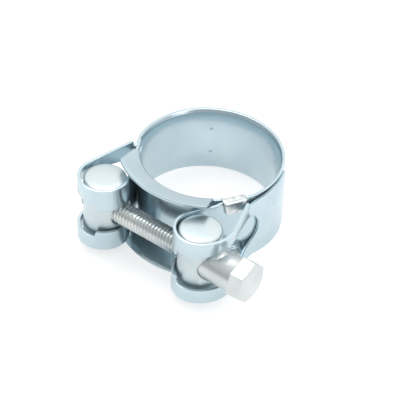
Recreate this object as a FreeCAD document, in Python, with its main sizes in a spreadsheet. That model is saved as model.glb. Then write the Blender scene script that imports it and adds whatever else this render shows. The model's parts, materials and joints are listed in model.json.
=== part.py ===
import FreeCAD, Part
import math
import os
import Sketcher
from FreeCAD import Placement, Rotation, Vector

# Heavy duty hose clamp: one plated strip folded back round two solid trunnions and welded
# to itself, a bridge plate under the gap, and a hexagon bolt with a spacer sleeve.
# Millimetres and degrees. The bore runs along Z with its middle at the origin, the bolt lies
# along X in front of it, towards -Y, and its head is at +X.

doc = FreeCAD.newDocument("hose_clamp")
LINK = Sketcher.Constraint

# Driving sizes
SIZES = {
    "bore_radius": 18.6,      # inside of the ring
    "band_width": 20.0,       # width of the strip
    "band_thick": 0.8,        # thickness of the strip
    "lip_height": 0.8,        # height of the flared edge of the ring
    "lip_flare": 0.5,         # how far the edge is flared
    "lip_start": 28.0,        # angle below the X axis where the flared edge starts
    "shoulder_start": 23.5,   # angle below the X axis from which the return run is narrower
    "loop_side": 15.7,        # middle of a loop to the middle plane
    "loop_drop": 5.75,        # middle of a loop in front of the bore
    "loop_room": 0.37,        # inside radius of a loop beyond its trunnion's
    "run_slant": 13.0,        # slant of the return run
    "run_bend": 6.0,          # bend where the return run lands on the ring
    "run_end": 62.0,          # angle above the X axis where the return run ends
    "layer_gap": 0.1,         # play between the ring and the return run
    "tuck_gap": 0.3,          # edge of the return run to the flared edge of the ring
    "sleeve_room": 0.5,       # slot beside the sleeve, on the outside of a loop
    "bolt_room": 0.6,         # slot beside the bolt, on the gap side of a loop
    "slot_step": 2.3,         # step of the slot from the middle of the loop
    "slot_reach": 5.6,        # end of the slot in the return run, below the X axis
    "weld_radius": 1.0,       # spot weld radius
    "weld_spread": 3.9,       # spot weld to the middle of the strip
    "weld_near": 4.0,         # angle of the first pair of spot welds
    "weld_back": 8.0,         # second pair of spot welds to the end of the strip, as an angle
    "bridge_thick": 0.6,      # thickness of the bridge plate
    "bridge_play": 0.05,      # play between bridge and band
    "bridge_half": 62.0,      # half angle of the bridge plate
    "flange_width": 5.3,      # outer edge of the bridge flanges beyond the bore
    "flange_tilt": 16.0,      # tilt of the bridge flanges
    "flange_fold": 0.9,       # inside bend of the flanges
    "flange_clear": 0.1,      # play between the flanges and the edges of the band
    "flange_right": 36.5,     # angle where the flange stops before the crimped end
    "flange_left": 38.7,      # angle of the outer corner of the flange at the free end
    "flange_tip": 52.5,       # angle where the flange starts at the free end
    "tab_start": 0.1,         # start of the crimp tab behind the point where the band leaves the ring
    "tab_length": 6.2,        # crimp tab along the band
    "tab_narrow": 1.0,        # how much the crimp tab narrows at each corner
    "tab_drop": 3.5,          # crimp tab down the face of the band
    "tab_bend": 0.15,         # inside bend of the crimp tab
    "thread_radius": 3.0,     # bolt thread, outer radius
    "bolt_length": 50.0,      # bolt under its head
    "bolt_play": 0.05,        # radial play of the bolt in the threaded trunnion
    "bolt_tip": 0.8,          # chamfer at the end of the bolt
    "head_flats": 10.0,       # head across flats
    "head_high": 4.0,         # height of the head
    "head_bevel": 25.0,       # slope of the bevel on the corners of the head
    "head_face": 9.5,         # flat round face inside the bevel, across
    "head_turn": 15.8,        # angle of one corner of the head from the Y axis
    "barrel_radius": 5.7,     # both trunnions, barrel radius
    "barrel_inset": 0.9,      # end of a trunnion inside the edge of the band
    "barrel_edge": 0.7,       # turned bevel on the edges of the trunnions
    "barrel_back": 0.45,      # bolt axis behind the middle of the loops
    "seat_play": 0.03,        # play between a trunnion and the band
    "mouth_step": 1.1,        # countersink beyond the threaded hole
    "pass_play": 0.2,         # radial play of the bolt in the plain trunnion
    "pocket_play": 0.1,       # radial play of the sleeve in its pocket
    "pocket_floor": 1.0,      # floor of the sleeve's pocket from the middle of the trunnion
    "end_play": 0.03,         # play at each end of the sleeve
    "sleeve_play": 0.1,       # radial play of the bolt in the sleeve
    "sleeve_wall": 1.6,       # wall of the sleeve
    "sleeve_length": 11.5,    # length of the sleeve
    "sleeve_edge": 0.25,      # chamfer on the sleeve
}
sheet = doc.addObject("Spreadsheet::Sheet", "sizes")
for row, (alias, value) in enumerate(SIZES.items(), start=1):
    sheet.set("A%d" % row, alias)
    sheet.set("B%d" % row, str(value))
    sheet.setAlias("B%d" % row, alias)
doc.recompute()

# Sizes that follow from the sheet, as expressions: $name stands for the cell of that name
RING_OUTER = "($bore_radius + $band_thick)"
RING_MID = "($bore_radius + $band_thick / 2)"
RUN_INNER = "($bore_radius + $band_thick + $layer_gap)"
RUN_OUTER = "($bore_radius + $band_thick + $layer_gap + $band_thick)"
LOOP_FRONT = "($bore_radius + $loop_drop)"
LOOP_INNER = "($barrel_radius + $loop_room)"
LOOP_OUTER = "($barrel_radius + $loop_room + $band_thick)"
LOOP_MID = "($barrel_radius + $loop_room + $band_thick / 2)"
LEAVE = ("(atan(%s / $loop_side) - acos((%s + %s) / sqrt($loop_side ^ 2 + %s ^ 2)))"
         % (LOOP_FRONT, RING_MID, LOOP_MID, LOOP_FRONT))
HALF_WIDTH = "($band_width / 2)"
LIP_ROOT = "($band_width / 2 - $lip_height)"
LIP_SPAN = "(180 + 2 * $lip_start) * 1 deg"
SHOULDER_SPAN = "(180 + 2 * $shoulder_start) * 1 deg"
BOLT_FRONT = "($bore_radius + $loop_drop - $barrel_back)"
BRIDGE_OUTER = "($bore_radius - $bridge_play)"
BRIDGE_INNER = "($bore_radius - $bridge_play - $bridge_thick)"
BRIDGE_LEVEL = "($band_width / 2 + $flange_clear)"
FOLD_LEVEL = ("(%s - $flange_fold * (1 - sin($flange_tilt * 1 deg)) / cos($flange_tilt * 1 deg))"
              % BRIDGE_LEVEL)
FLANGE_OUTER = "($bore_radius + $flange_width)"
SLEEVE_BORE = "($thread_radius + $sleeve_play)"
SLEEVE_RADIUS = "($thread_radius + $sleeve_play + $sleeve_wall)"
BARREL_SIDE = ("((%s + $seat_play + $barrel_radius - %s * sin(%s)) / cos(%s))"
               % (RING_OUTER, BOLT_FRONT, LEAVE, LEAVE))
SLEEVE_SIDE = "(%s + $pocket_floor + $end_play)" % BARREL_SIDE
HEAD_SIDE = "(%s + $sleeve_length + $end_play)" % SLEEVE_SIDE


def cells(text):
    """Writes $name as the cell of that name."""
    return text.replace("$", "sizes.")


def number(text):
    """The present value of an expression over the sheet, in millimetres or degrees."""
    found = sheet.evalExpression(cells(text))
    return float(getattr(found, "Value", found))


def minus(text):
    return "-1 * (%s)" % text


def polar(radius, degrees):
    angle = math.radians(degrees)
    return Vector(radius * math.cos(angle), radius * math.sin(angle), 0)


def polar_text(radius, degrees):
    return ("(%s) * cos((%s) * 1 deg)" % (radius, degrees), "(%s) * sin((%s) * 1 deg)" % (radius, degrees))


def plane_of(body, role):
    """One of the body's own origin planes or axes."""
    return [f for f in body.Origin.OriginFeatures if f.Role == role][0]


def new_body(name):
    body = doc.addObject("PartDesign::Body", name)
    body.Label = name
    return body


def new_sketch(body, name, role, shift=None, tilt=None):
    """A sketch on an origin plane, shifted in that plane's axes and tilted about its upright."""
    sketch = body.newObject("Sketcher::SketchObject", name)
    sketch.AttachmentSupport = [(plane_of(body, role), "")]
    sketch.MapMode = "FlatFace"
    place = Placement()
    if tilt is not None:
        place.Rotation = Rotation(Vector(0, 1, 0), number(tilt))
    sketch.AttachmentOffset = place
    if tilt is not None:
        sketch.setExpression("AttachmentOffset.Rotation.Angle", cells(tilt))
    for axis, text in (shift or {}).items():
        sketch.setExpression("AttachmentOffset.Base." + axis, cells(text))
    return sketch


def bind(sketch, constraint, text):
    """Adds a constraint and ties its value to the sheet."""
    index = sketch.addConstraint(constraint)
    sketch.setExpression("Constraints[%d]" % index, cells(text))


def bind_point(sketch, item, point, x_text, y_text):
    """Ties a point to its distances from the sketch's origin."""
    for kind, axis, text in (("DistanceX", -2, x_text), ("DistanceY", -1, y_text)):
        if text == "0":
            sketch.addConstraint(LINK("PointOnObject", item, point, axis))
            continue
        value = number(text)
        if value < 0:
            bind(sketch, LINK(kind, item, point, -1, 1, -value), minus(text))
        else:
            bind(sketch, LINK(kind, -1, 1, item, point, value), text)


def add_circle(sketch, radius, x_text="0", y_text="0"):
    centre = Vector(number(x_text), number(y_text), 0)
    circle = sketch.addGeometry(Part.Circle(centre, Vector(0, 0, 1), number(radius)))
    bind(sketch, LINK("Radius", circle, number(radius)), radius)
    bind_point(sketch, circle, 3, x_text, y_text)


def add_outline(sketch, corners):
    """A closed outline of straight lines, each corner given as two expressions."""
    points = [Vector(number(x), number(y), 0) for x, y in corners]
    count = len(points)
    first = sketch.GeometryCount
    for i in range(count):
        sketch.addGeometry(Part.LineSegment(points[i], points[(i + 1) % count]))
    for i in range(count):
        sketch.addConstraint(LINK("Coincident", first + i, 2, first + (i + 1) % count, 1))
    for i, (x, y) in enumerate(corners):
        bind_point(sketch, first + i, 1, x, y)


def arc_about(centre, radius, start, end):
    """An arc about a centre, counterclockwise from one direction to another."""
    begin = math.atan2(start.y, start.x)
    finish = math.atan2(end.y, end.x)
    if finish <= begin:
        finish += 2 * math.pi
    return Part.ArcOfCircle(Part.Circle(centre, Vector(0, 0, 1), radius), begin, finish)


def add_feature(body, kind, name, sketch, expressions, midplane=False, reversed_=False):
    """A sketch feature of a body. Additive ones have to add and the others have to cut."""
    before = 0.0 if body.Shape.isNull() else body.Shape.Volume
    feature = body.newObject("PartDesign::" + kind, name)
    feature.Profile = sketch
    feature.Midplane = midplane
    feature.Reversed = reversed_
    if kind in ("Revolution", "Groove"):
        feature.ReferenceAxis = (plane_of(body, expressions["axis"]), [""])
        if "Angle" not in expressions:
            feature.Angle = 360
    for field in ("Length", "Angle"):
        if field in expressions:
            feature.setExpression(field, cells(expressions[field]))
    doc.recompute()
    change = body.Shape.Volume - before
    assert abs(change) > 1e-3 and (change > 0) == (kind in ("Pad", "Revolution")), name
    return feature


def pad(body, name, sketch, length, **how):
    return add_feature(body, "Pad", name, sketch, {"Length": length}, **how)


def pocket(body, name, sketch, length, **how):
    return add_feature(body, "Pocket", name, sketch, {"Length": length}, **how)


def revolve(body, kind, name, sketch, axis, angle=None):
    """A revolution or groove, half of it to each side of its sketch, or all the way round."""
    if angle is None:
        return add_feature(body, kind, name, sketch, {"axis": axis})
    return add_feature(body, kind, name, sketch, {"axis": axis, "Angle": angle}, midplane=True)


def mirror(body, name, originals, role):
    feature = body.newObject("PartDesign::Mirrored", name)
    feature.Originals = originals
    feature.MirrorPlane = (plane_of(body, role), [""])
    body.Tip = feature
    doc.recompute()


def place_on_bolt_axis(body, side_text):
    body.Placement = Placement(Vector(number(side_text), -number(BOLT_FRONT), 0), Rotation())
    body.setExpression("Placement.Base.x", cells(side_text))
    body.setExpression("Placement.Base.y", cells(minus(BOLT_FRONT)))
    doc.recompute()


def draw_tail(sketch):
    """Leg, loop, return run, bend and the stretch along the ring, as one closed outline."""
    half = number("$band_thick") / 2
    ring_mid = number(RING_MID)
    loop_mid = number(LOOP_MID)
    run_mid = number(RUN_INNER) + half
    bend = number("$run_bend")
    origin = Vector(0, 0, 0)
    loop_at = Vector(number("$loop_side"), -number(LOOP_FRONT), 0)
    leg_normal = polar(1.0, -number(LEAVE))
    run_normal = polar(1.0, number("$run_slant"))
    run_along = Vector(-run_normal.y, run_normal.x, 0)
    run_off = loop_at.dot(run_normal) + loop_mid
    bend_reach = math.sqrt((run_mid + bend) ** 2 - (run_off + bend) ** 2)
    bend_at = run_normal * (run_off + bend) - run_along * bend_reach
    land_normal = Vector(bend_at).normalize()
    end_normal = polar(1.0, number("$run_end"))
    legs, loops, runs, bends, rings = [], [], [], [], []
    # the face towards the hose first, the other face second
    for off in (-half, half):
        leg_start = leg_normal * (ring_mid + off)
        leg_end = loop_at - leg_normal * (loop_mid - off)
        run_start = loop_at + run_normal * (loop_mid - off)
        run_stop = bend_at - run_normal * (bend + off)
        legs.append(sketch.addGeometry(Part.LineSegment(leg_start, leg_end)))
        loops.append(sketch.addGeometry(arc_about(loop_at, loop_mid - off, -leg_normal, run_normal)))
        runs.append(sketch.addGeometry(Part.LineSegment(run_start, run_stop)))
        bends.append(sketch.addGeometry(arc_about(bend_at, bend + off, -land_normal, -run_normal)))
        rings.append(sketch.addGeometry(arc_about(origin, run_mid - off, land_normal, end_normal)))
    foot = sketch.addGeometry(Part.LineSegment(leg_normal * (ring_mid + half),
                                               leg_normal * (ring_mid - half)))
    tip = sketch.addGeometry(Part.LineSegment(end_normal * (run_mid - half),
                                              end_normal * (run_mid + half)))
    for i in range(2):
        sketch.addConstraint(LINK("Tangent", legs[i], 2, loops[i], 1))
        sketch.addConstraint(LINK("Tangent", loops[i], 2, runs[i], 1))
        sketch.addConstraint(LINK("Tangent", runs[i], 2, bends[i], 2))
        sketch.addConstraint(LINK("Tangent", bends[i], 1, rings[i], 1))
        sketch.addConstraint(LINK("Coincident", rings[i], 3, -1, 1))
    sketch.addConstraint(LINK("Coincident", foot, 1, legs[1], 1))
    sketch.addConstraint(LINK("Coincident", foot, 2, legs[0], 1))
    sketch.addConstraint(LINK("Coincident", tip, 1, rings[1], 2))
    sketch.addConstraint(LINK("Coincident", tip, 2, rings[0], 2))
    sketch.addConstraint(LINK("Coincident", loops[0], 3, loops[1], 3))
    sketch.addConstraint(LINK("Coincident", bends[0], 3, bends[1], 3))
    sketch.addConstraint(LINK("PointOnObject", -1, 1, foot))
    sketch.addConstraint(LINK("Perpendicular", foot, legs[0]))
    sketch.addConstraint(LINK("PointOnObject", -1, 1, tip))
    bind(sketch, LINK("Distance", -1, 1, legs[0], 1, ring_mid - half), "$bore_radius")
    bind(sketch, LINK("Distance", -1, 1, legs[1], 1, ring_mid + half), RING_OUTER)
    bind(sketch, LINK("Radius", loops[0], loop_mid + half), LOOP_OUTER)
    bind(sketch, LINK("Radius", loops[1], loop_mid - half), LOOP_INNER)
    bind(sketch, LINK("Radius", rings[0], run_mid + half), RUN_OUTER)
    bind(sketch, LINK("Radius", rings[1], run_mid - half), RUN_INNER)
    bind(sketch, LINK("Radius", bends[0], bend - half), "$run_bend - $band_thick / 2")
    bind(sketch, LINK("DistanceX", -1, 1, loops[0], 3, loop_at.x), "$loop_side")
    bind(sketch, LINK("DistanceY", loops[0], 3, -1, 1, -loop_at.y), LOOP_FRONT)
    slant = "(90 + $run_slant)"
    bind(sketch, LINK("Angle", runs[0], math.radians(number(slant))), slant + " * 1 deg")
    bind(sketch, LINK("Angle", tip, math.radians(number("$run_end"))), "$run_end * 1 deg")


def draw_slot(sketch, half, top, rounded):
    """A slot seen along X: open past the front of the loop, square or round at its other end."""
    front = minus("%s + %s + $band_thick" % (LOOP_FRONT, LOOP_OUTER))
    if not rounded:
        add_outline(sketch, [(front, minus(half)), (top, minus(half)), (top, half), (front, half)])
        return
    near, far, high = number(front), number(top), number(half)
    lower = sketch.addGeometry(Part.LineSegment(Vector(near, -high, 0), Vector(far, -high, 0)))
    circle = Part.Circle(Vector(far, 0, 0), Vector(0, 0, 1), high)
    cap = sketch.addGeometry(Part.ArcOfCircle(circle, -math.pi / 2, math.pi / 2))
    upper = sketch.addGeometry(Part.LineSegment(Vector(far, high, 0), Vector(near, high, 0)))
    back = sketch.addGeometry(Part.LineSegment(Vector(near, high, 0), Vector(near, -high, 0)))
    sketch.addConstraint(LINK("Tangent", lower, 2, cap, 1))
    sketch.addConstraint(LINK("Tangent", cap, 2, upper, 1))
    sketch.addConstraint(LINK("Coincident", upper, 2, back, 1))
    sketch.addConstraint(LINK("Coincident", back, 2, lower, 1))
    sketch.addConstraint(LINK("Horizontal", lower))
    sketch.addConstraint(LINK("Horizontal", upper))
    sketch.addConstraint(LINK("Vertical", back))
    bind(sketch, LINK("Radius", cap, high), half)
    bind_point(sketch, cap, 3, top, "0")
    bind(sketch, LINK("DistanceX", back, 1, -1, 1, -near), minus(front))


def build_band():
    body = new_body("band")
    tail = new_sketch(body, "tail_outline", "XY_Plane")
    draw_tail(tail)
    parts = [pad(body, "tail", tail, "$band_width", midplane=True)]

    # slots: wide round the outside of the loop and up the return run, narrow on the gap side
    wide = "(%s + $sleeve_room)" % SLEEVE_RADIUS
    narrow = "($thread_radius + $bolt_room)"
    beyond_leg = "cos(%s) * %s + $layer_gap + $band_thick / 4" % (LEAVE, RING_OUTER)
    for name, start, half, top, rounded in (
            ("slot_front", "$loop_side - $slot_step", wide, minus(LOOP_FRONT), False),
            ("slot_run", beyond_leg, wide, minus("$slot_reach + " + wide), True),
            ("slot_gap", None, narrow, minus(BOLT_FRONT), True)):
        sketch = new_sketch(body, name + "_outline", "YZ_Plane", {"z": start} if start else None)
        draw_slot(sketch, half, top, rounded)
        parts.append(pocket(body, name, sketch, "$loop_side", reversed_=True))
    mirror(body, "other_end", parts, "YZ_Plane")

    # the return run is narrower where it lies between the flared edges of the ring
    near = "(%s + $layer_gap / 2)" % RING_OUTER
    far = "(%s + $band_thick)" % RUN_OUTER
    tuck = "(%s - $tuck_gap)" % LIP_ROOT
    past = "(%s + $band_thick)" % HALF_WIDTH
    shoulder = new_sketch(body, "shoulder_outline", "YZ_Plane")
    for side in (str, minus):
        add_outline(shoulder, [(near, side(tuck)), (far, side(tuck)),
                               (far, side(past)), (near, side(past))])
    revolve(body, "Groove", "shoulder", shoulder, "Z_Axis", SHOULDER_SPAN)

    # ring wall, its straight edges replaced by flared ones round the back
    wall = new_sketch(body, "wall_section", "YZ_Plane")
    add_outline(wall, [("$bore_radius", minus(HALF_WIDTH)), (RING_OUTER, minus(HALF_WIDTH)),
                       (RING_OUTER, HALF_WIDTH), ("$bore_radius", HALF_WIDTH)])
    revolve(body, "Revolution", "wall", wall, "Z_Axis", "2 * (90 deg + %s)" % LEAVE)
    edges = new_sketch(body, "straight_edges", "YZ_Plane")
    lips = new_sketch(body, "flared_edges", "YZ_Plane")
    inside = "($bore_radius - $band_thick)"
    for side in (str, minus):
        add_outline(edges, [(inside, side(LIP_ROOT)), (near, side(LIP_ROOT)),
                            (near, side(past)), (inside, side(past))])
        add_outline(lips, [("$bore_radius", side(LIP_ROOT)), (RING_OUTER, side(LIP_ROOT)),
                           (RING_OUTER + " + $lip_flare", side(HALF_WIDTH)),
                           ("$bore_radius + $lip_flare", side(HALF_WIDTH))])
    revolve(body, "Groove", "edges_off", edges, "Z_Axis", LIP_SPAN)
    revolve(body, "Revolution", "lips", lips, "Z_Axis", LIP_SPAN)

    # spot welds, two pairs at each end of the strip
    far_weld = "$run_end - $weld_back"
    for name, angle in (("near_right", "$weld_near"), ("far_right", far_weld),
                        ("near_left", "180 - $weld_near"), ("far_left", "180 - (%s)" % far_weld)):
        along, across = polar_text(RING_MID, angle)
        spot = new_sketch(body, "weld_outline_" + name, "YZ_Plane", {"x": across, "z": along},
                          "(%s) * 1 deg" % angle)
        for side in (str, minus):
            add_circle(spot, "$weld_radius", "0", side("$weld_spread"))
        pad(body, "weld_" + name, spot, "$band_thick + $layer_gap")
    return body


def draw_flange_section(sketch):
    """Bend and tilted flange of the plate, from the top of its upright wall."""
    inner, outer, level = number(BRIDGE_INNER), number(BRIDGE_OUTER), number(FOLD_LEVEL)
    small = number("$flange_fold")
    large = small + number("$bridge_thick")
    tilt = number("$flange_tilt")
    up = polar(1.0, 90 + tilt)
    along = polar(1.0, tilt)
    centre = Vector(outer + small, level, 0)
    low, high = centre + up * small, centre + up * large
    reach = along * ((number(FLANGE_OUTER) - high.x) / along.x)
    west = Vector(-1, 0, 0)
    root = sketch.addGeometry(Part.LineSegment(Vector(inner, level, 0), Vector(outer, level, 0)))
    tight = sketch.addGeometry(arc_about(centre, small, up, west))
    under = sketch.addGeometry(Part.LineSegment(low, low + reach))
    edge = sketch.addGeometry(Part.LineSegment(low + reach, high + reach))
    over = sketch.addGeometry(Part.LineSegment(high + reach, high))
    wide = sketch.addGeometry(arc_about(centre, large, up, west))
    sketch.addConstraint([
        LINK("Coincident", root, 2, tight, 2), LINK("Tangent", tight, 1, under, 1),
        LINK("Coincident", under, 2, edge, 1), LINK("Coincident", edge, 2, over, 1),
        LINK("Tangent", over, 2, wide, 1), LINK("Coincident", wide, 2, root, 1),
        LINK("Coincident", tight, 3, wide, 3), LINK("PointOnObject", tight, 3, root),
        LINK("Horizontal", root), LINK("Parallel", under, over), LINK("Perpendicular", edge, over)])
    bind(sketch, LINK("DistanceX", -1, 1, root, 1, inner), BRIDGE_INNER)
    bind(sketch, LINK("DistanceX", -1, 1, root, 2, outer), BRIDGE_OUTER)
    bind(sketch, LINK("DistanceY", -1, 1, root, 1, level), FOLD_LEVEL)
    bind(sketch, LINK("Radius", tight, small), "$flange_fold")
    bind(sketch, LINK("Angle", under, math.radians(tilt)), "$flange_tilt * 1 deg")
    bind(sketch, LINK("DistanceX", -1, 1, over, 1, number(FLANGE_OUTER)), FLANGE_OUTER)


def draw_fold(sketch, face):
    """Crimp tab seen along the leg: a quarter bend over the edge, then down the outer face."""
    u_face = number(face)
    small = number("$tab_bend")
    thick = number("$bridge_thick")
    level = number(BRIDGE_LEVEL)
    centre = Vector(u_face - small, level - small, 0)
    low = level - number("$tab_drop")
    east, north = Vector(1, 0, 0), Vector(0, 1, 0)
    down = sketch.addGeometry(Part.LineSegment(centre + east * small, Vector(u_face, low, 0)))
    foot = sketch.addGeometry(Part.LineSegment(Vector(u_face, low, 0), Vector(u_face + thick, low, 0)))
    rise = sketch.addGeometry(Part.LineSegment(Vector(u_face + thick, low, 0),
                                               centre + east * (small + thick)))
    wide = sketch.addGeometry(arc_about(centre, small + thick, east, north))
    root = sketch.addGeometry(Part.LineSegment(centre + north * (small + thick), centre + north * small))
    tight = sketch.addGeometry(arc_about(centre, small, east, north))
    sketch.addConstraint([
        LINK("Coincident", down, 2, foot, 1), LINK("Coincident", foot, 2, rise, 1),
        LINK("Tangent", rise, 2, wide, 1), LINK("Coincident", wide, 2, root, 1),
        LINK("Coincident", root, 2, tight, 2), LINK("Tangent", tight, 1, down, 1),
        LINK("Vertical", down), LINK("Vertical", rise), LINK("Vertical", root), LINK("Horizontal", foot),
        LINK("Coincident", tight, 3, wide, 3), LINK("Vertical", root, 1, wide, 3)])
    bind(sketch, LINK("Radius", tight, small), "$tab_bend")
    bind(sketch, LINK("Distance", foot, thick), "$bridge_thick")
    bind_point(sketch, down, 2, face, "%s - $tab_drop" % BRIDGE_LEVEL)
    bind(sketch, LINK("DistanceY", -1, 1, tight, 2, level), BRIDGE_LEVEL)


def build_bridge():
    body = new_body("bridge")
    parts = []
    # upright wall, and the higher stretch of it that carries the crimp tab
    crimp_turn = "(180 + ($flange_right + $bridge_half) / 2) * 1 deg"
    for name, turn, low, high, span in (
            ("wall", "180 deg", "0", FOLD_LEVEL, "2 * $bridge_half * 1 deg"),
            ("crimp_wall", crimp_turn, FOLD_LEVEL, BRIDGE_LEVEL, "($bridge_half - $flange_right) * 1 deg")):
        sketch = new_sketch(body, name + "_section", "YZ_Plane", None, turn)
        add_outline(sketch, [(BRIDGE_INNER, low), (BRIDGE_OUTER, low),
                             (BRIDGE_OUTER, high), (BRIDGE_INNER, high)])
        parts.append(revolve(body, "Revolution", name, sketch, "Z_Axis", span))

    # flange, cut off slanting at its free end
    flange_turn = "(180 + ($flange_right - $flange_tip) / 2) * 1 deg"
    section = new_sketch(body, "flange_section", "YZ_Plane", None, flange_turn)
    draw_flange_section(section)
    span = "($flange_right + $flange_tip) * 1 deg"
    parts.append(revolve(body, "Revolution", "flange", section, "Z_Axis", span))
    tip = polar_text("(%s + $lip_flare)" % RING_OUTER, "-90 - $flange_tip")
    corner = polar_text(FLANGE_OUTER, "-90 - $flange_left")
    beyond = ["%s + 0.3 * (%s - %s)" % (c, c, t) for c, t in zip(corner, tip)]
    outside = "(%s * 1.5)" % FLANGE_OUTER
    cut = new_sketch(body, "flange_cut_outline", "XY_Plane", {"z": BRIDGE_LEVEL})
    add_outline(cut, [tip, beyond, polar_text(outside, "-90 - $flange_left"),
                      polar_text(outside, "-100 - $flange_tip")])
    parts.append(pocket(body, "flange_cut", cut, "$flange_width", reversed_=True))

    # crimp tab, in axes along the leg of the band and square to it
    face = "(%s + $bridge_play)" % RING_OUTER
    wall_mid = "(%s + $bridge_thick / 2)" % BRIDGE_INNER
    first, last = "-1 * $tab_start", "($tab_length - $tab_start)"
    bend_start = "(%s - $tab_bend)" % face
    def on_leg(along, off):
        return ("%s * cos(%s) - (%s) * sin(%s)" % (off, LEAVE, along, LEAVE),
                "-1 * %s * sin(%s) - (%s) * cos(%s)" % (off, LEAVE, along, LEAVE))
    def on_wall(along):
        return on_leg(along, "sqrt(%s ^ 2 - (%s) ^ 2)" % (wall_mid, along))
    over = new_sketch(body, "tab_outline", "XY_Plane", {"z": BRIDGE_LEVEL})
    add_outline(over, [on_wall(first), on_leg(first, bend_start), on_leg(last, bend_start), on_wall(last)])
    parts.append(pad(body, "tab_over", over, "$bridge_thick"))
    along_leg = {"x": "$tab_start * sin(%s)" % LEAVE, "z": "-1 * $tab_start * cos(%s)" % LEAVE}
    fold = new_sketch(body, "tab_section", "XZ_Plane", along_leg, minus(LEAVE))
    draw_fold(fold, face)
    parts.append(pad(body, "tab_fold", fold, "$tab_length"))
    outer = "(%s + $bridge_thick)" % face
    out_x, out_y = on_leg("0", outer)
    trim = new_sketch(body, "tab_taper_outline", "YZ_Plane", {"x": out_y, "z": out_x}, minus(LEAVE))
    top = "(%s - $tab_bend)" % BRIDGE_LEVEL
    low = "(%s - 1.2 * ($tab_drop - $tab_bend))" % top
    add_outline(trim, [("$tab_start", top), ("$tab_start - 1.2 * $tab_narrow", low),
                       ("$tab_start + $tab_narrow", low)])
    end = "(-1 * %s)" % last
    add_outline(trim, [(end, top), (end + " + 1.2 * $tab_narrow", low), (end + " - $tab_narrow", low)])
    parts.append(pocket(body, "tab_taper", trim, "$bridge_thick"))
    mirror(body, "lower_half", parts, "XY_Plane")
    return body


def build_barrel(name, side_text, hole_corners):
    """A solid turned barrel across the band, with its cross hole along X."""
    body = new_body(name)
    outline = new_sketch(body, name + "_outline", "XY_Plane")
    add_circle(outline, "$barrel_radius")
    barrel = pad(body, name + "_barrel", outline, "$band_width - 2 * $barrel_inset", midplane=True)
    bevel = body.newObject("PartDesign::Chamfer", name + "_edges")
    bevel.Base = (barrel, ["Edge%d" % (i + 1) for i, e in enumerate(barrel.Shape.Edges)
                           if e.Curve.TypeId == "Part::GeomCircle"])
    bevel.setExpression("Size", cells("$barrel_edge"))
    doc.recompute()
    hole = new_sketch(body, name + "_hole", "XZ_Plane")
    add_outline(hole, hole_corners)
    revolve(body, "Groove", name + "_bore", hole, "X_Axis")
    place_on_bolt_axis(body, side_text)
    return body


def build_threaded_trunnion():
    """The bolt screws into this one; its hole is countersunk towards the gap."""
    hole = "($thread_radius + $bolt_play)"
    deep = "($barrel_radius - $mouth_step)"
    back, front = minus("$barrel_radius + $mouth_step"), "($barrel_radius + $mouth_step)"
    return build_barrel("threaded_trunnion", minus(BARREL_SIDE), [
        (back, "0"), (back, hole), (deep, hole), (front, hole + " + 2 * $mouth_step"), (front, "0")])


def build_plain_trunnion():
    """The bolt passes through this one; the sleeve sits in a pocket on its outer side."""
    hole = "($thread_radius + $pass_play)"
    nest = "(%s + $pocket_play)" % SLEEVE_RADIUS
    back, front = minus("$barrel_radius * 1.1"), "($barrel_radius * 1.1)"
    return build_barrel("plain_trunnion", BARREL_SIDE, [
        (back, "0"), (back, hole), ("$pocket_floor", hole), ("$pocket_floor", nest),
        (front, nest), (front, "0")])


def build_sleeve():
    """Plain turned tube on the bolt, between its head and the plain trunnion."""
    body = new_body("spacer_sleeve")
    ring = new_sketch(body, "sleeve_section", "YZ_Plane")
    add_circle(ring, SLEEVE_RADIUS)
    add_circle(ring, SLEEVE_BORE)
    tube = pad(body, "sleeve_tube", ring, "$sleeve_length")
    bevel = body.newObject("PartDesign::Chamfer", "sleeve_edges")
    middle = (number(SLEEVE_RADIUS) + number(SLEEVE_BORE)) / 2
    rims = ["Edge%d" % (i + 1) for i, e in enumerate(tube.Shape.Edges)
            if e.Curve.TypeId == "Part::GeomCircle" and e.Curve.Radius > middle]
    bevel.Base = (tube, rims)
    bevel.setExpression("Size", cells("$sleeve_edge"))
    place_on_bolt_axis(body, SLEEVE_SIDE)
    return body


def build_bolt():
    """Hexagon bolt, with the underside of its head at the body's own origin."""
    body = new_body("hex_bolt")
    corner = "($head_flats / sqrt(3))"
    head = new_sketch(body, "head_outline", "YZ_Plane")
    add_outline(head, [polar_text(corner, "$head_turn + %d" % (60 * i)) for i in range(6)])
    pad(body, "head", head, "$head_high")
    shank = new_sketch(body, "shank_outline", "YZ_Plane")
    add_circle(shank, "$thread_radius")
    pad(body, "shank", shank, "$bolt_length", reversed_=True)

    # turned bevels: the corners of the head's front face and the end of the thread
    wide = "(%s * 1.2)" % corner
    face = "($head_face / 2)"
    trim = new_sketch(body, "bevel_profile", "XZ_Plane")
    add_outline(trim, [
        ("$head_high", face), ("$head_high - (%s - %s) * tan($head_bevel * 1 deg)" % (wide, face), wide),
        ("$head_high * 1.2", wide), ("$head_high * 1.2", face)])
    end, beside = minus("$bolt_length"), "($thread_radius + $bolt_tip)"
    add_outline(trim, [
        (end, "$thread_radius - $bolt_tip"), (end + " + $bolt_tip", "$thread_radius"),
        (end + " + $bolt_tip", beside),
        (end + " - $bolt_tip", beside), (end + " - $bolt_tip", "$thread_radius - $bolt_tip")])
    revolve(body, "Groove", "bevels", trim, "X_Axis")
    place_on_bolt_axis(body, HEAD_SIDE)
    return body


pieces = [build_band(), build_bridge(), build_threaded_trunnion(), build_plain_trunnion(),
          build_sleeve(), build_bolt()]

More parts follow.
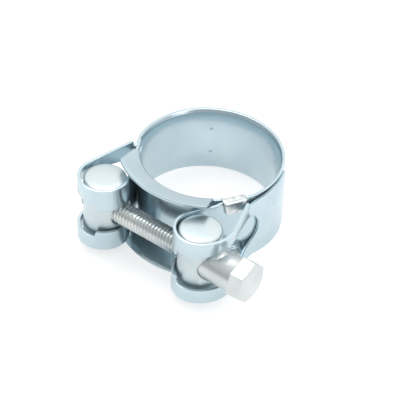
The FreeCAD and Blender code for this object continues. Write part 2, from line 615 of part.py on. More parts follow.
# every object has to be sound before anything is written
for item in doc.Objects:
    assert "Invalid" not in item.State and "Error" not in item.State, item.Name
for piece in pieces:
    assert not piece.Shape.isNull() and piece.Shape.isValid(), piece.Label
os.makedirs("parts", exist_ok=True)
for piece in pieces:
    piece.Shape.exportStep("parts/%s.step" % piece.Label)
    box = piece.Shape.BoundBox
    print("%-18s solids %d volume %8.1f x %.2f..%.2f y %.2f..%.2f z %.2f..%.2f"
          % (piece.Label, len(piece.Shape.Solids), piece.Shape.Volume,
             box.XMin, box.XMax, box.YMin, box.YMax, box.ZMin, box.ZMax))
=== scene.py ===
# %% [markdown]
# # A heavy duty hose clamp
# One strip of zinc plated steel is folded back round two turned trunnions and welded to itself.
# A bridge plate covers the gap in the ring, and a hexagon bolt with a spacer sleeve pulls the
# trunnions together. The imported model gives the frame: the bore runs along Z, the bolt along X.

# %% Load the frame
import json
import math
import bpy
from mathutils import Matrix, Vector

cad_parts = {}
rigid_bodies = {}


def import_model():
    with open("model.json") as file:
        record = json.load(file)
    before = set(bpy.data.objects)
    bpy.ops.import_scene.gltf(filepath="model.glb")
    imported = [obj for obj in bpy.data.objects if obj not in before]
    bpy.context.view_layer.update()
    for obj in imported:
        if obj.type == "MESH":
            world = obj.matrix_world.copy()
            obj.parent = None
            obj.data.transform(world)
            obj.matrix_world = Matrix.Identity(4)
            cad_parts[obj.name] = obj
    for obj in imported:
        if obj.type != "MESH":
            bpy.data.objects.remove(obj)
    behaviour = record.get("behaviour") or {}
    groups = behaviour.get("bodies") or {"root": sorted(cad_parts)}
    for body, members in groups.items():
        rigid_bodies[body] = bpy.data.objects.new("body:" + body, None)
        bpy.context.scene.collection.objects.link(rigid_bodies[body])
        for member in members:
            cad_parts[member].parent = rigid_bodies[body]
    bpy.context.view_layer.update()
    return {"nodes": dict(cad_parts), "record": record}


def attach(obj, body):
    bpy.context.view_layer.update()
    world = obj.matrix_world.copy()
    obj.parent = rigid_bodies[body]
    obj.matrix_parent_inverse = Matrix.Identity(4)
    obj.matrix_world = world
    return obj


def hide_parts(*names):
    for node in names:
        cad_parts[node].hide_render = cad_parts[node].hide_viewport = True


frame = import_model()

# %% [markdown]
# ## Working by hand, in code
# Operators act on whatever is selected, so every step starts by clearing the selection.
# Blender counts in metres and the clamp is measured in millimetres, so lengths are written
# as a number times MM.

# %% Helpers for selecting and editing
MM = 0.001


def only(*objects):
    """Selects just these objects, the first one active."""
    for other in bpy.context.view_layer.objects:
        other.select_set(False)
    for item in objects:
        item.select_set(True)
    bpy.context.view_layer.objects.active = objects[0]


def editing(item, action):
    """Runs an action in edit mode with all of the mesh selected."""
    only(item)
    bpy.ops.object.mode_set(mode="EDIT")
    bpy.ops.mesh.select_all(action="SELECT")
    action()
    bpy.ops.object.mode_set(mode="OBJECT")


def drag(item, pick, by):
    """Moves the vertices that a test picks, as by dragging them in edit mode."""
    only(item)
    bpy.ops.object.mode_set(mode="EDIT")
    bpy.ops.mesh.select_all(action="DESELECT")
    bpy.ops.object.mode_set(mode="OBJECT")
    for vertex in item.data.vertices:
        vertex.select = bool(pick(vertex.co / MM))
    bpy.ops.object.mode_set(mode="EDIT")
    bpy.ops.transform.translate(value=[c * MM for c in by])
    bpy.ops.object.mode_set(mode="OBJECT")


def settle(item):
    """Puts the object's place into its mesh, so that the object sits at the origin."""
    only(item)
    bpy.ops.object.transform_apply(location=True, rotation=True, scale=True)


print("nodes", sorted(frame["nodes"]))

# %% [markdown]
# Modifiers do the work that would take long by hand, such as rounding every sharp edge. Each
# is applied at once, so that the next step sees real geometry.

# %% Helpers for modifiers
def add_modifier(item, kind, **values):
    step = item.modifiers.new(kind.lower(), kind)
    for key, value in values.items():
        setattr(step, key, value)
    return step


def apply_all(item):
    only(item)
    for name in [m.name for m in item.modifiers]:
        bpy.ops.object.modifier_apply(modifier=name)


def round_edges(item, width, segments=2, angle=35):
    """Breaks the sharp edges, which catch the light on a real pressing or turning."""
    add_modifier(item, "BEVEL", width=width * MM, segments=segments, limit_method="ANGLE",
                 angle_limit=math.radians(angle), use_clamp_overlap=False)
    apply_all(item)


def cut_away(item, *tools, operation="DIFFERENCE"):
    """Cuts with each tool in turn, or joins or intersects, and throws the tool away."""
    for tool in tools:
        add_modifier(item, "BOOLEAN", operation=operation, object=tool, solver="EXACT")
        apply_all(item)
        bpy.data.objects.remove(tool, do_unlink=True)


def smooth(item, angle=30):
    only(item)
    bpy.ops.object.shade_smooth_by_angle(angle=math.radians(angle))


HELPERS = (add_modifier, apply_all, round_edges, cut_away, smooth)
print("modifier helpers", [helper.__name__ for helper in HELPERS])

# %% [markdown]
# Three starting shapes are enough for this clamp: a turned blank, a plain block for cutting
# with, and a row of edges, drawn by extruding one vertex from place to place.

# %% Starting shapes
def cylinder(name, radius, length, at=(0, 0, 0), axis="Z", vertices=96, radius2=None):
    """A turned blank or a drill: a cylinder, or a cone with a second radius, along an axis."""
    turn = {"Z": (0, 0, 0), "X": (0, math.pi / 2, 0), "Y": (math.pi / 2, 0, 0)}[axis]
    far = radius if radius2 is None else radius2
    bpy.ops.mesh.primitive_cone_add(vertices=vertices, radius1=radius * MM, radius2=far * MM,
                                    depth=length * MM, location=[c * MM for c in at], rotation=turn)
    item = bpy.context.object
    item.name = name
    settle(item)
    return item


def block(name, low, high):
    """A plain block between two corners, for cutting with."""
    middle = [(a + b) / 2 * MM for a, b in zip(low, high)]
    bpy.ops.mesh.primitive_cube_add(size=1, location=middle)
    item = bpy.context.object
    item.name = name
    item.scale = [abs(b - a) * MM for a, b in zip(low, high)]
    settle(item)
    return item


def drawn_row(name, places):
    """A row of edges from place to place, in millimetres."""
    bpy.ops.mesh.primitive_plane_add(size=1 * MM)
    item = bpy.context.object
    item.name = name

    def draw():
        bpy.ops.mesh.merge(type="CENTER")
        bpy.ops.transform.translate(value=Vector(places[0]) * MM)
        for a, b in zip(places, places[1:]):
            step = (Vector(b) - Vector(a)) * MM
            bpy.ops.mesh.extrude_region_move(TRANSFORM_OT_translate={"value": step})

    editing(item, draw)
    return item


trial = drawn_row("trial", [(0, 0, 0), (1, 0, 0), (1, 2, 0)])
print("a drawn row has", len(trial.data.vertices), "vertices and", len(trial.data.edges), "edges")
bpy.data.objects.remove(trial, do_unlink=True)

# %% [markdown]
# ## Bright zinc plating
# The whole clamp is steel with a thin coat of bright zinc. Its colour is a cool blue-white, a
# little cloudy where the coat is thicker. Under it lie the marks of the tools: long faint lines
# from rolling on the strip, rings round the axis on the turned parts. Three node groups make
# that, and every finish uses them with its own values.

# %% Making node trees
def new_group(name, inputs, outputs):
    tree = bpy.data.node_groups.new(name, "ShaderNodeTree")
    for label, kind, value in inputs:
        socket = tree.interface.new_socket(label, in_out="INPUT", socket_type=kind)
        if value is not None:
            socket.default_value = value
    for label, kind in outputs:
        tree.interface.new_socket(label, in_out="OUTPUT", socket_type=kind)
    return tree, tree.nodes.new("NodeGroupInput"), tree.nodes.new("NodeGroupOutput")


def node(tree, kind, links=None, **values):
    """A node of a tree, with its properties, its socket values and its incoming links."""
    made = tree.nodes.new("ShaderNode" + kind)
    for key, value in values.items():
        if hasattr(made, key):
            setattr(made, key, value)
        else:
            made.inputs[key.replace("_", " ")].default_value = value
    for socket, source in (links or {}).items():
        tree.links.new(source, made.inputs[socket])
    return made


def blend_colours(tree, factor, first, second):
    """Mixes two colours by a factor and gives the output socket."""
    mix = node(tree, "Mix", data_type="RGBA")
    tree.links.new(factor, mix.inputs["Factor"])
    for label, source in (("A", first), ("B", second)):
        socket = [s for s in mix.inputs if s.name == label and s.type == "RGBA"][0]
        tree.links.new(source, socket)
    return [s for s in mix.outputs if s.type == "RGBA"][0]


print("node helpers", [helper.__name__ for helper in (new_group, node, blend_colours)])

# %% [markdown]
# The clouds are a soft noise between two colours. The same noise makes the cloudy places a
# little rougher, as a thicker coat is.

# %% Clouded plating
def plating_tone():
    tree, given, result = new_group(
        "plating_tone",
        [("Clear", "NodeSocketColor", (0.8, 0.86, 0.9, 1)),
         ("Cloudy", "NodeSocketColor", (0.6, 0.7, 0.78, 1)),
         ("Cloud Size", "NodeSocketFloat", 90.0), ("Roughness", "NodeSocketFloat", 0.25),
         ("Roughness Change", "NodeSocketFloat", 0.1)],
        [("Color", "NodeSocketColor"), ("Roughness", "NodeSocketFloat")])
    place = node(tree, "TexCoord")
    clouds = node(tree, "TexNoise", {"Vector": place.outputs["Object"], "Scale": given.outputs["Cloud Size"]},
                  Detail=3.0, Roughness=0.5)
    soft = node(tree, "MapRange", {"Value": clouds.outputs["Fac"]}, From_Min=0.35, From_Max=0.68)
    colour = blend_colours(tree, soft.outputs["Result"], given.outputs["Clear"], given.outputs["Cloudy"])
    rough = node(tree, "Math", {0: soft.outputs["Result"], 1: given.outputs["Roughness Change"],
                                2: given.outputs["Roughness"]}, operation="MULTIPLY_ADD")
    tree.links.new(colour, result.inputs["Color"])
    tree.links.new(rough.outputs[0], result.inputs["Roughness"])
    return tree


GROUPS = {"tone": plating_tone()}
print("tone group nodes", len(GROUPS["tone"].nodes))

# %% [markdown]
# Tool marks are noise drawn out along two axes and dense across the third. For a turned part
# the place is first changed to its distance from the axis and its height along it, so that the
# same lines become rings.

# %% Tool marks
def tool_lines():
    tree, given, result = new_group(
        "tool_lines",
        [("Vector", "NodeSocketVector", None), ("Stretch", "NodeSocketVector", (60.0, 60.0, 1500.0)),
         ("Waviness", "NodeSocketFloat", 0.3)],
        [("Height", "NodeSocketFloat")])
    drawn = node(tree, "VectorMath", {0: given.outputs["Vector"], 1: given.outputs["Stretch"]},
                 operation="MULTIPLY")
    lines = node(tree, "TexNoise", {"Vector": drawn.outputs["Vector"]}, Scale=1.0, Detail=2.0)
    waves = node(tree, "TexNoise", {"Vector": given.outputs["Vector"]}, Scale=140.0, Detail=1.0)
    added = node(tree, "Math", {0: waves.outputs["Fac"], 1: given.outputs["Waviness"],
                                2: lines.outputs["Fac"]}, operation="MULTIPLY_ADD")
    tree.links.new(added.outputs[0], result.inputs["Height"])
    return tree


def round_axis():
    tree, given, result = new_group("round_axis", [("Vector", "NodeSocketVector", None)],
                                    [("Vector", "NodeSocketVector")])
    flat = node(tree, "VectorMath", {0: given.outputs["Vector"]}, operation="MULTIPLY")
    flat.inputs[1].default_value = (1, 1, 0)
    radius = node(tree, "VectorMath", {0: flat.outputs["Vector"]}, operation="LENGTH")
    parts = node(tree, "SeparateXYZ", {"Vector": given.outputs["Vector"]})
    place = node(tree, "CombineXYZ", {"X": radius.outputs["Value"], "Z": parts.outputs["Z"]})
    tree.links.new(place.outputs["Vector"], result.inputs["Vector"])
    return tree


GROUPS["lines"] = tool_lines()
GROUPS["round"] = round_axis()
print("groups", sorted(GROUPS))

# %% [markdown]
# ## The finishes
# Strip, trunnions and bolt are plated alike but worked differently. One function makes them all,
# so they stay alike where they should. A Mapping node moves and turns a part's axis to the
# origin before the rings are made. The metal's share is a little under one, because a thin haze
# lies on plating and lifts its deepest shadows.

# %% Finishes from the groups
def placed_group(tree, key, **values):
    made = tree.nodes.new("ShaderNodeGroup")
    made.node_tree = GROUPS[key]
    for label, value in values.items():
        made.inputs[label.replace("_", " ")].default_value = value
    return made


def plated(name, clear, cloudy, roughness, change, stretch, bump, axis_at=None,
           turn=(0, 0, 0), clouds=90.0):
    """A plated metal finish, with rings round an axis where one is given."""
    material = bpy.data.materials.new(name)
    material.use_nodes = True
    tree = material.node_tree
    shader = tree.nodes["Principled BSDF"]
    shader.inputs["Metallic"].default_value = 0.86
    tone = placed_group(tree, "tone", Clear=(*clear, 1), Cloudy=(*cloudy, 1), Cloud_Size=clouds,
                        Roughness=roughness, Roughness_Change=change)
    source = node(tree, "TexCoord").outputs["Object"]
    if axis_at is not None:
        mapping = node(tree, "Mapping", {"Vector": source}, vector_type="TEXTURE")
        mapping.inputs["Location"].default_value = [c * MM for c in axis_at]
        mapping.inputs["Rotation"].default_value = turn
        rings = placed_group(tree, "round")
        tree.links.new(mapping.outputs["Vector"], rings.inputs["Vector"])
        source = rings.outputs["Vector"]
    lines = placed_group(tree, "lines", Stretch=stretch)
    tree.links.new(source, lines.inputs["Vector"])
    height = node(tree, "Bump", {"Height": lines.outputs["Height"]}, Strength=bump, Distance=0.00005)
    tree.links.new(tone.outputs["Color"], shader.inputs["Base Color"])
    tree.links.new(tone.outputs["Roughness"], shader.inputs["Roughness"])
    tree.links.new(height.outputs["Normal"], shader.inputs["Normal"])
    return material


print("a finish is made by", plated.__name__, "from", len(GROUPS), "groups")

# %% [markdown]
# The turned finishes need to know where their axes lie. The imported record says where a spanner
# sets on the bolt's head, and from there the places follow along the bolt: the head, the sleeve
# that stands against it, and the trunnion's pocket in which the sleeve stands.

# %% Places along the bolt
HEAD_HIGH, SLEEVE_LONG, POCKET_FLOOR, CLEARANCE = 4.0, 11.5, 1.0, 0.03
spanner = frame["record"]["mounts"][1]["pos_m"]
BOLT_Y = spanner[1] / MM
HEAD_X = spanner[0] / MM - HEAD_HIGH
SLEEVE_X = HEAD_X - SLEEVE_LONG - CLEARANCE
BARREL_X = SLEEVE_X - POCKET_FLOOR - CLEARANCE
print("bolt axis y", round(BOLT_Y, 2), "barrels at x", round(BARREL_X, 2), "head from", round(HEAD_X, 2))

# %% [markdown]
# The strip is the bluest, and its lines run along it. The trunnions and the bolt are more
# neutral, with rings from the lathe. The crimp tab was pressed down hard, which has broken its
# coat into small bright and dull patches. Its colour is also painted far brighter than the strip's:
# a painted highlight for the light that its pressed faces catch.

# %% The finishes of this clamp
STRIP = plated("rolled_zinc", clear=(0.62, 0.74, 0.79), cloudy=(0.55, 0.675, 0.735), roughness=0.2,
               change=0.07, stretch=(40, 40, 1400), bump=0.06)
TURNED = {side: plated(name, clear=(0.67, 0.755, 0.77), cloudy=(0.58, 0.67, 0.69), roughness=0.26,
                       change=0.08, stretch=(1500, 1500, 1500), bump=0.06,
                       axis_at=(side * BARREL_X, BOLT_Y, 0))
          for side, name in ((-1, "left_turned_zinc"), (1, "right_turned_zinc"))}
BOLT = plated("bolt_zinc", clear=(0.76, 0.79, 0.78), cloudy=(0.64, 0.68, 0.68), roughness=0.25, change=0.1,
              stretch=(1500, 1500, 1200), bump=0.06, axis_at=(0, BOLT_Y, 0), turn=(0, math.pi / 2, 0))
# Painted highlight: the tab's finish is far brighter than the strip's plating and stands in for the light its
# pressed faces catch. Its dull patches are worn coat.
CRIMP_WEAR_AND_HIGHLIGHT = plated("crimped_zinc_wear_and_highlight", clear=(0.90, 0.92, 0.92), cloudy=(0.56, 0.60, 0.61), roughness=0.25,
               change=0.12, stretch=(900, 900, 250), bump=0.3, clouds=800.0)
print("finishes", sorted(material.name for material in (STRIP, BOLT, CRIMP_WEAR_AND_HIGHLIGHT, *TURNED.values())))

# %% [markdown]
# ## Handing a piece over
# Each finished piece gets its name, its finish and the body it moves with, and the CAD solid it stands for is
# hidden.

# %% Handing pieces over
def hand_over(item, name, materials, body, stands_for):
    item.name = name
    item.data.name = name
    if not isinstance(materials, (list, tuple)):
        item.data.materials.clear()
        item.data.materials.append(materials)
        for face in item.data.polygons:
            face.material_index = 0
    settle(item)
    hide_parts(stands_for)
    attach(item, body)
    low = [round(min(v.co[i] for v in item.data.vertices) / MM, 2) for i in range(3)]
    high = [round(max(v.co[i] for v in item.data.vertices) / MM, 2) for i in range(3)]
    print(name, "faces", len(item.data.polygons), "from", low, "to", high)


# %% [markdown]
# ## The strip's path
# Seen along the bore, the strip runs from its end on the right, along the ring, out to the
# right loop, back up the leg, round the whole ring and the same on the left. The path is
# straight lines and arcs that touch, so it is worked out from a few sizes. The strip's middle
# line is used, because bending stretches one face and squeezes the other. The right loop is
# pulled by the bolt's head and stands fuller than the left one: its arc grows wider on the
# outside, and its run back to the ring leans more.

# %% Sizes of the path
BORE, THICK, WIDTH = 18.6, 0.8, 20.0
LOOP_AT = Vector((15.7, -24.35))
RING_MID = BORE + THICK / 2
LOOP_MID = 6.07 + THICK / 2
TAIL_MID = RING_MID + THICK + 0.15
LEAVE = math.atan2(-LOOP_AT.y, LOOP_AT.x) - math.acos((RING_MID + LOOP_MID) / LOOP_AT.length)
TAIL_END = math.radians(29)


def ray_at(angle):
    return Vector((math.cos(angle), math.sin(angle)))


def line_points(start, end, count):
    """Points on a straight line, the first one left out."""
    return [start.lerp(end, i / count) for i in range(1, count + 1)]


def arc_points(centre, radius, start, end, step):
    """Points on an arc, the first one left out, at about one step in degrees."""
    count = max(2, round(abs(math.degrees(end - start)) / step))
    return [centre + ray_at(start + (end - start) * i / count) * radius for i in range(1, count + 1)]


print("the strip leaves the ring at", round(math.degrees(LEAVE), 2), "degrees below the right side")

# %% [markdown]
# One function works out either half from the back of the ring to the strip's end, since both
# take the same turns. It keeps the distance along the strip to each turn as well. The slots and
# the tails are cut in the flat, where such a distance is simply a place along the blank.

# %% One half of the path
def half_path(slant, run_off, full_from, bend):
    """Middle line from the back of the ring to the strip's end, with the marks on the way.

    The run leans by slant and lies run_off from the bore's middle. The loop's wider arc starts
    at the angle full_from, and the bend that lays the run on the ring has the radius bend.
    """
    out, across = ray_at(slant), Vector((-math.sin(slant), math.cos(slant)))
    share = math.cos(full_from - slant)
    wide = (run_off - LOOP_AT.dot(out) - LOOP_MID * share) / (1 - share)
    wide_at = LOOP_AT - ray_at(full_from) * (wide - LOOP_MID)
    reach = math.sqrt((TAIL_MID + bend) ** 2 - (run_off + bend) ** 2)
    bend_at = out * (run_off + bend) - across * reach
    land = math.atan2(bend_at.y, bend_at.x)
    marks = {}
    points = [Vector((0, RING_MID))] + arc_points(Vector((0, 0)), RING_MID, math.pi / 2, -LEAVE, 2.5)
    marks["leave"] = len(points) - 1
    leg_end = LOOP_AT - ray_at(-LEAVE) * LOOP_MID
    points += line_points(points[-1], leg_end, 8)
    marks["loop"] = len(points) - 1
    points += arc_points(LOOP_AT, LOOP_MID, math.pi - LEAVE, 2 * math.pi + full_from, 5)
    points += arc_points(wide_at, wide, full_from, slant, 4)
    marks["run"] = len(points) - 1
    points += line_points(points[-1], bend_at - out * bend, 6)
    marks["bend"] = len(points) - 1
    points += arc_points(bend_at, bend, math.pi + slant, math.pi + land, 4)
    marks["land"] = len(points) - 1
    points += arc_points(Vector((0, 0)), TAIL_MID, land, TAIL_END, 2.5)
    lengths = [0.0]
    for a, b in zip(points, points[1:]):
        lengths.append(lengths[-1] + (b - a).length)
    return points, lengths, {key: lengths[i] for key, i in marks.items()}


LEFT_SLANT, RIGHT_SLANT = math.radians(13), math.radians(19)
LEFT_OFF = LOOP_AT.dot(ray_at(LEFT_SLANT)) + LOOP_MID
RIGHT_OFF = 15.37
LEFT_BEND, RIGHT_BEND = 6.0, 9.0
FULL_FROM = math.radians(-55)
left = half_path(LEFT_SLANT, LEFT_OFF, FULL_FROM, LEFT_BEND)
right = half_path(RIGHT_SLANT, RIGHT_OFF, FULL_FROM, RIGHT_BEND)
HALVES = {1: left, -1: right}
MIDDLE = right[1][-1]
TOTAL = MIDDLE + left[1][-1]
print("strip length", round(TOTAL, 1), "right marks", {key: round(at, 2) for key, at in right[2].items()})

# %% [markdown]
# ## The flat blank
# On the real clamp the strip is stamped flat and bent afterwards. The same order works best
# here: in the flat the slots are clean cuts, and the edges can be rounded by one modifier.
# The blank lies along X, its thickness is Y and its width is Z. A wide slot clears the sleeve
# on the outside of each loop, and a narrower one clears the bolt on the gap side. The blank is
# split lengthwise first. A slot cut into one whole face would be a hole in it, and the edges that
# join such a hole to the face's border would be rounded later as if they were corners.

# %% Slot tools
NARROW_TOP, NARROW_LOW = 3.15, -4.1
WIDE_END, WIDE_MID = 5.3, -0.45
WIDE_START, WIDE_TOP, WIDE_LOW = 5.2, 6.9, WIDE_MID - WIDE_END
NEAR_IN, STEP_TURN, STEP_FLAT, RUN_IN, LAND_IN = 2.3, math.radians(98), 4.0, 1.0, 0.5
STEP_ROUND, CUT_HALF = 0.75, 3.0
ROUND_STEPS = [7.5 * i for i in range(25)]


def slot_outline(side):
    """Places round one slot in the flat, as pairs of distance along the blank and height."""
    marks = HALVES[side][2]
    near = marks["loop"] + NEAR_IN
    step = marks["loop"] + STEP_TURN * LOOP_MID
    run = marks["run"] + RUN_IN
    far = marks["land"] + LAND_IN - WIDE_END
    middle, half = (NARROW_TOP + NARROW_LOW) / 2, (NARROW_TOP - NARROW_LOW) / 2
    round_near = [Vector((near, middle)) + ray_at(math.radians(90 + a)) * half for a in ROUND_STEPS]
    round_far = [Vector((far, WIDE_MID)) + ray_at(math.radians(-90 + a)) * WIDE_END for a in ROUND_STEPS]
    lower = [Vector((step, NARROW_LOW)), Vector((step, WIDE_LOW))]
    upper = [Vector((run, WIDE_TOP)), Vector((step + STEP_FLAT, WIDE_START)),
             Vector((step, WIDE_START)), Vector((step, NARROW_TOP))]
    return [(MIDDLE + side * p.x, p.y) for p in round_near + lower + round_far + upper]


def slot_tool(side):
    """The outline drawn, filled and pulled through the blank, its step rounded into an S."""
    tool = drawn_row("slot", [(x, -CUT_HALF, z) for x, z in slot_outline(side)])

    def pull_through():
        bpy.ops.mesh.edge_face_add()
        bpy.ops.mesh.extrude_region_move(TRANSFORM_OT_translate={"value": (0, 2 * CUT_HALF * MM, 0)})
        bpy.ops.mesh.select_all(action="SELECT")
        bpy.ops.mesh.normals_make_consistent(inside=False)

    editing(tool, pull_through)
    print("slot tool faces", len(tool.data.polygons))
    round_edges(tool, STEP_ROUND, 5, 50)
    return tool


def halve(item, level):
    """Cuts an edge along the blank at a height, so that no face has a slot as a hole in it."""
    editing(item, lambda: bpy.ops.mesh.bisect(plane_co=(0, 0, level * MM), plane_no=(0, 0, 1)))


blank = block("strip", (0, -THICK / 2, -WIDTH / 2), (TOTAL, THICK / 2, WIDTH / 2))
halve(blank, WIDE_MID)
for side in (-1, 1):
    cut_away(blank, slot_tool(side))
print("blank with slots, faces", len(blank.data.polygons))

# %% [markdown]
# The ends of the strip are a little narrower than the ring and lie a touch lower. A scoop in
# the upper edge makes room beside the crimped tab, and the end's corners are rounded. Under
# the tab both edges are set in, so that the tab lies level with the ring's rim.

# %% Tail and tab seat
TAIL_TOP, TAIL_LOW, SCOOP = 8.9, -9.9, 7.9
SCOOP_FROM, SCOOP_TURN, SCOOP_ROUND, LOWER_FROM = 0.6, math.radians(15), 0.7, 2.6
TAB_FROM, TAB_TO, SEAT_EDGE, SEAT_ROOM = -1.66, 4.6, 9.5, 0.15
BEYOND, OVERLAP = 12.0, 0.8


def slab(name, along, heights):
    """A block right through the blank, between two places along it and two heights."""
    return block(name, (min(along), -CUT_HALF, min(heights)), (max(along), CUT_HALF, max(heights)))


def shape_tail(side):
    """Scoops and lowers the upper edge of one tail and trims its lower edge."""
    marks, length = HALVES[side][2], HALVES[side][1][-1]

    def at(distance):
        return MIDDLE + side * distance

    start, end = marks["bend"] + SCOOP_FROM, marks["land"] + SCOOP_TURN * TAIL_MID
    scoop = slab("scoop", (at(start), at(end + OVERLAP)), (TAIL_TOP, BEYOND))
    drag(scoop, lambda p: p.z < 10 and abs(p.x - at(start)) < 0.5, (0, 0, SCOOP - TAIL_TOP))
    round_edges(scoop, SCOOP_ROUND, 4, 60)
    upper = slab("upper", (at(end), at(length + 1)), (TAIL_TOP, BEYOND))
    lower = slab("lower", (at(marks["bend"] + LOWER_FROM), at(length + 1)), (TAIL_LOW, -BEYOND))
    cut_away(blank, scoop, upper, lower)


for side in (-1, 1):
    shape_tail(side)
leg = MIDDLE - right[2]["leave"]
for up in (-1, 1):
    ends = (leg - TAB_FROM + SEAT_ROOM, leg - TAB_TO - SEAT_ROOM)
    cut_away(blank, slab("seat", ends, (up * SEAT_EDGE, up * BEYOND)))
print("blank with tails and tab seat, faces", len(blank.data.polygons))

# %% [markdown]
# A stamping die rounds the corners of the strip's ends, so that they don't catch a hand. A small
# block with a round hole at its inner corner takes off just what lies outside the rounding.

# %% Rounded ends
CORNER = 2.2


def end_corner(side, level):
    """A cutter that turns a square corner of the strip's end into a round one."""
    edge = MIDDLE + side * HALVES[side][1][-1]
    up = 1 if level > 0 else -1
    centre = (edge - side * CORNER, level - up * CORNER)
    corner = slab("corner", (edge + side, centre[0]), (level + up, centre[1]))
    cut_away(corner, cylinder("round", CORNER, 8, (centre[0], 0, centre[1]), "Y", 64))
    return corner


for side in (-1, 1):
    for level in (TAIL_TOP, TAIL_LOW):
        cut_away(blank, end_corner(side, level))
print("blank with rounded ends, faces", len(blank.data.polygons))

# %% [markdown]
# The edges are broken before the strip is bent. The spot welds leave shallow round marks on
# the outer face of the strip's ends and on the inside of the ring.

# %% Edges and weld marks
EDGE_BREAK = 0.12
WELD_BALL, WELD_LIFT = 0.6, 0.35
WELD_LEVELS = (-4.2, 3.6)
TAIL_WELD, RING_WELD = math.radians(4), math.radians(55)
round_edges(blank, EDGE_BREAK, 2, 30)


def weld_mark(x, z):
    """A small ball that dents the outer face of the tail or the inner face of the ring."""
    place = [c * MM for c in (x, THICK / 2 + WELD_LIFT, z)]
    bpy.ops.mesh.primitive_uv_sphere_add(segments=24, ring_count=12, radius=WELD_BALL * MM, location=place)
    ball = bpy.context.object
    settle(ball)
    return ball


for side in (-1, 1):
    on_tail = HALVES[side][1][-1] - (TAIL_END - TAIL_WELD) * TAIL_MID
    on_ring = (math.pi / 2 - RING_WELD) * RING_MID
    for distance in (on_tail, on_ring):
        for z in WELD_LEVELS:
            cut_away(blank, weld_mark(MIDDLE + side * distance, z))
print("blank with weld marks, faces", len(blank.data.polygons))

# %% [markdown]
# ## Bending
# A curve modifier bends the blank along the path. It can only bend where there are vertices,
# so the blank is first cut across at every point of the path. A few cuts lengthwise follow. The
# outer ones give the flared edges something to bend on, and the ones beside the weld marks keep
# the marks from disturbing the smooth shading round them.

# %% Cross cuts
cuts = sorted({round(MIDDLE + side * at, 4) for side in (-1, 1) for at in HALVES[side][1]})
FLARE_LEVELS, WELD_ROOM = (8.9, 9.3, 9.7), 0.7
levels = sorted([up * z for up in (-1, 1) for z in FLARE_LEVELS]
                + [z + up * WELD_ROOM for up in (-1, 1) for z in WELD_LEVELS])


def cross_cut():
    for x in cuts[1:-1]:
        bpy.ops.mesh.select_all(action="SELECT")
        bpy.ops.mesh.bisect(plane_co=(x * MM, 0, 0), plane_no=(1, 0, 0))
    for z in levels:
        bpy.ops.mesh.select_all(action="SELECT")
        bpy.ops.mesh.bisect(plane_co=(0, 0, z * MM), plane_no=(0, 0, 1))


editing(blank, cross_cut)
print("after cross cuts", len(blank.data.polygons))

# %% [markdown]
# The ring's edges are flared outwards a little, so that they don't cut the hose, and so are the
# edges of the legs beyond the tab. A vertex group says how much each place takes part, and a
# displacement pushes the edges out by that share while the strip is still flat.

# %% Flared edges
LIP_HIGH, LIP_OUT = 1.1, 0.55
RING_ROOM, LEG_ROOM, RAMP, LOOP_RAMP = 0.4, 0.3, 1.2, 3.0
group = blank.vertex_groups.new(name="lip")
for vertex in blank.data.vertices:
    x, z = vertex.co.x / MM, vertex.co.z / MM
    marks = right[2] if x < MIDDLE else left[2]
    distance = abs(x - MIDDLE)
    rise = max(0.0, (abs(z) - (WIDTH / 2 - LIP_HIGH)) / LIP_HIGH)
    ring_part = min(1.0, max(0.0, (marks["leave"] + TAB_FROM - RING_ROOM - distance) / RAMP))
    leg_part = min(1.0, max(0.0, (distance - marks["leave"] - TAB_TO - LEG_ROOM) / RAMP),
                   max(0.0, (marks["loop"] - LOOP_RAMP - distance) / LOOP_RAMP))
    weight = rise * max(ring_part, leg_part)
    if weight > 0:
        group.add([vertex.index], weight, "REPLACE")
add_modifier(blank, "DISPLACE", direction="Y", strength=-LIP_OUT * MM, mid_level=0.0, vertex_group="lip")
apply_all(blank)
print("flared edge", LIP_OUT, "mm out over", LIP_HIGH, "mm")

# %% [markdown]
# The path becomes a curve object, and its twist is set to Z_UP so that the strip's width stays
# along the bore. The curve is removed once the bend is applied.

# %% Bending along the path
line = bpy.data.curves.new("strip_path", "CURVE")
line.dimensions = "3D"
line.twist_mode = "Z_UP"
full = list(reversed(right[0])) + [Vector((-p.x, p.y)) for p in left[0][1:]]
spline = line.splines.new("POLY")
spline.points.add(len(full) - 1)
for point, place in zip(spline.points, full):
    point.co = (place.x * MM, place.y * MM, 0, 1)
path = bpy.data.objects.new("strip_path", line)
bpy.context.collection.objects.link(path)
add_modifier(blank, "CURVE", object=path, deform_axis="POS_X")
apply_all(blank)
bpy.data.objects.remove(path, do_unlink=True)
blank.vertex_groups.clear()
smooth(blank, 28)
hand_over(blank, "folded_strip", STRIP, "clamp", "band")

# %% [markdown]
# ## The bridge plate
# The bridge is a curved pressing inside the ring's gap, with a flange rolled outwards along each
# edge. Its section is drawn as a short row of edges and spun round the bore, so the flange
# gets regular quads that shade smoothly. The wall gets its thickness afterwards.

# %% Section of the plate
PLATE, PLAY, PLATE_BREAK = 0.6, 0.05, 0.1
PLATE_MID = BORE - PLAY - PLATE / 2
FOLD, TILT = 0.9, math.radians(16)
EDGE_LEVEL = WIDTH / 2 + 0.1
FOLD_LEVEL = EDGE_LEVEL - FOLD * (1 - math.sin(TILT)) / math.cos(TILT)
FLANGE_OUTER = 23.9


def flange_profile():
    """Radius and height along the plate's middle, from the fold to the flange's edge."""
    bend = FOLD + PLATE / 2
    centre = Vector((PLATE_MID + bend, FOLD_LEVEL))
    rows = []
    for i in range(7):
        angle = math.pi - (math.pi / 2 - TILT) * i / 6
        rows.append(centre + ray_at(angle) * bend)
    along = Vector((math.cos(TILT), math.sin(TILT)))
    last = rows[-1]
    reach = (FLANGE_OUTER + PLATE / 2 * math.sin(TILT) - last.x) / along.x
    return rows + [last + along * reach * t for t in (0.33, 0.67, 1.0)]


